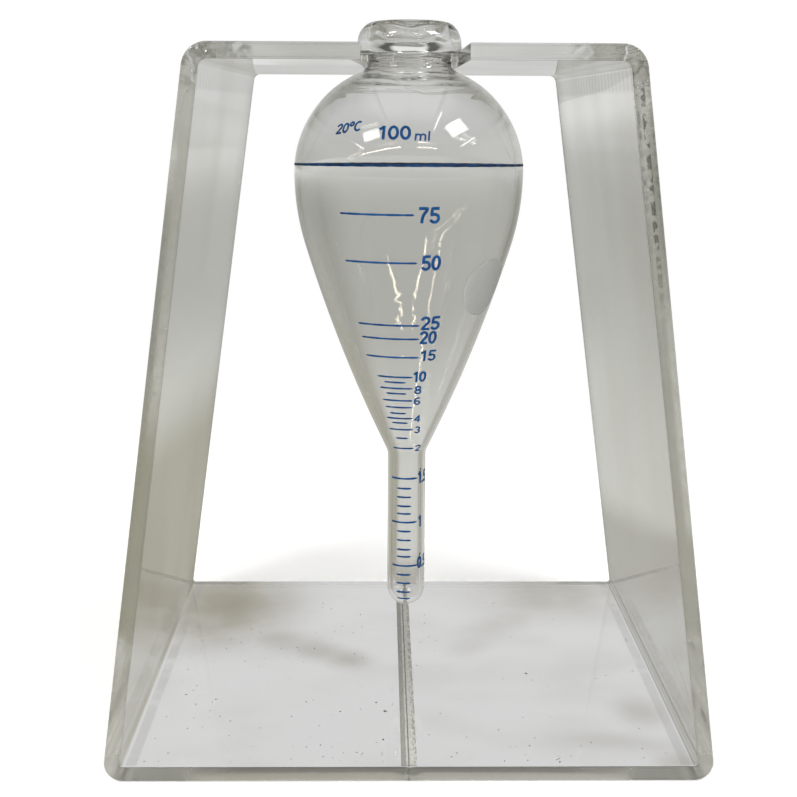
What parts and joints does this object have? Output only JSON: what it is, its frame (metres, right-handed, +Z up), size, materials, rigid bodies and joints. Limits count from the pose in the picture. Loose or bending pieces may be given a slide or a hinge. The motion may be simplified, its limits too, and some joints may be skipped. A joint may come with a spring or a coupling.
{
  "type": "sedimentation tube on a bent sheet stand",
  "caption": "Clear pear-shaped sedimentation tube with a long cone and narrow stem, hung by its rolled bead in the front-open slot of a bent clear sheet stand.",
  "frame": {"origin": "centre of the stand's footprint, on the underside of its base", "axes": "+Z up along the tube's axis, -Y out of the open front of the slot, +X to the right seen from the front"},
  "size_m": [0.1406, 0.11, 0.1739],
  "materials": {
    "tube_glass": "clear gloss",
    "clear_sheet": "clear gloss with light scuffs",
    "cement": "clear, slightly clouded",
    "blue_print": "fired enamel ink",
    "marking_patch": "matt enamel"
  },
  "bodies": {
    "root": {"glass_tube": "tube_glass", "acrylic_stand": "clear_sheet", "seam_cement": "cement"}
  },
  "joints": []
}
